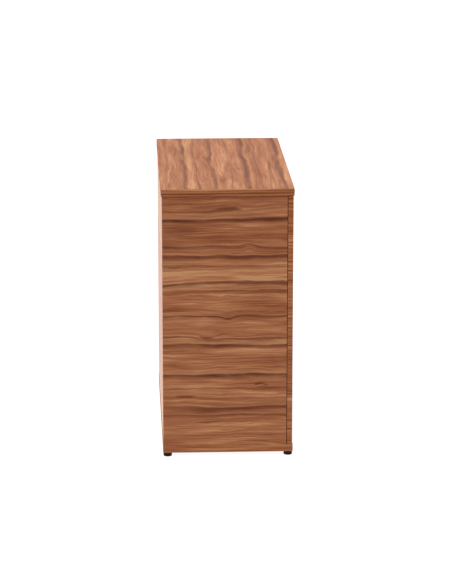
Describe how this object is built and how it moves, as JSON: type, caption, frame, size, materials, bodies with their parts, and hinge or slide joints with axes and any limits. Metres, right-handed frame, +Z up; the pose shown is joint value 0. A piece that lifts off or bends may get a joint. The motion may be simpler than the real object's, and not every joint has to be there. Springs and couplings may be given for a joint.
{
  "type": "library book drop box",
  "caption": "Tall walnut-board book return cabinet on low glides, with a pull-out front that carries a flapped slot, a chute and a deep bin with a sprung platform.",
  "frame": {"origin": "on the floor, under the middle of the whole object's box", "axes": "+Z up, the front panel with the slot faces -Y, +X to the right as seen from the front"},
  "size_m": [0.9, 0.474, 0.942],
  "materials": {
    "walnut_board": "satin walnut-pattern melamine on particle board",
    "birch_plywood": "lacquered birch plywood",
    "black_plastic": "moulded, fine texture",
    "rubber": "matte",
    "nylon": "natural nylon",
    "grey_felt": "needled felt",
    "brushed_stainless": "brushed along the length",
    "nickel_plate": "satin nickel plate",
    "zinc_plate": "bright zinc plate",
    "spring_steel": "oiled spring wire",
    "grey_powder_coat": "fine-texture powder coat"
  },
  "bodies": {
    "cabinet": {"top_board": "walnut_board", "base_board": "walnut_board", "side_left": "walnut_board", "side_right": "walnut_board", "back_board": "walnut_board", "glide_front_left": "black_plastic", "glide_front_right": "black_plastic", "glide_back_left": "black_plastic", "glide_back_right": "black_plastic", "cam_fitting_front_low_left": "zinc_plate", "cam_fitting_front_low_right": "zinc_plate", "cam_fitting_front_high_left": "zinc_plate", "cam_fitting_front_high_right": "zinc_plate", "cam_fitting_back_low_left": "zinc_plate", "cam_fitting_back_low_right": "zinc_plate", "cam_fitting_back_high_left": "zinc_plate", "cam_fitting_back_high_right": "zinc_plate", "buffer_low_left": "rubber", "buffer_low_right": "rubber", "buffer_high_left": "rubber", "buffer_high_right": "rubber", "runner_outer_left": "zinc_plate", "runner_outer_right": "zinc_plate", "lock_strike": "zinc_plate"},
    "front_unit": {"front_panel": "walnut_board", "slot_surround": "brushed_stainless", "flap_pin": "zinc_plate", "flap_washer_left": "nylon", "flap_washer_right": "nylon", "chute": "grey_powder_coat", "bow_handle": "brushed_stainless", "handle_screw_left": "zinc_plate", "handle_screw_right": "zinc_plate", "lock_body": "nickel_plate", "lock_body_nut": "nickel_plate", "bin_front": "birch_plywood", "bin_back": "birch_plywood", "bin_side_left": "birch_plywood", "bin_side_right": "birch_plywood", "bin_floor": "birch_plywood", "bin_screw_low_left": "zinc_plate", "bin_screw_low_right": "zinc_plate", "bin_screw_high_left": "zinc_plate", "bin_screw_high_right": "zinc_plate", "runner_inner_left": "zinc_plate", "runner_inner_right": "zinc_plate", "guide_rail_left": "zinc_plate", "guide_rail_right": "zinc_plate", "platform_spring_left": "spring_steel", "platform_spring_right": "spring_steel"},
    "runner_middle": {"runner_middle_left": "zinc_plate", "runner_middle_right": "zinc_plate"},
    "flap": {"book_flap": "brushed_stainless"},
    "platform": {"platform": "birch_plywood", "platform_felt": "grey_felt", "guide_shoe_left": "nylon", "guide_shoe_right": "nylon"},
    "lock": {"lock_plug": "nickel_plate", "lock_cam": "nickel_plate", "lock_cam_nut": "nickel_plate"}
  },
  "joints": [
    {"name": "bin_slide", "type": "slide", "parent": "cabinet", "child": "front_unit", "axis": [0, -1, 0], "range_m": [0, 0.35]},
    {"name": "runner_slide", "type": "slide", "parent": "cabinet", "child": "runner_middle", "axis": [0, -1, 0], "range_m": [0, 0.175]},
    {"name": "flap_swing", "type": "hinge", "parent": "front_unit", "child": "flap", "pos_m": [0, -0.2, 0.766], "axis": [1, 0, 0], "range_deg": [0, 80]},
    {"name": "platform_slide", "type": "slide", "parent": "front_unit", "child": "platform", "axis": [0, 0, -1], "range_m": [0, 0.2], "stiffness_N_per_m": 900, "springref_m": -0.12, "deforming": ["platform_spring_left", "platform_spring_right"]},
    {"name": "lock_turn", "type": "hinge", "parent": "front_unit", "child": "lock", "pos_m": [0, -0.2, 0.876], "axis": [0, -1, 0], "range_deg": [0, 90]}
  ],
  "couplings": [
    {"joint": "runner_slide", "follows": "bin_slide", "ratio": 0.5}
  ]
}
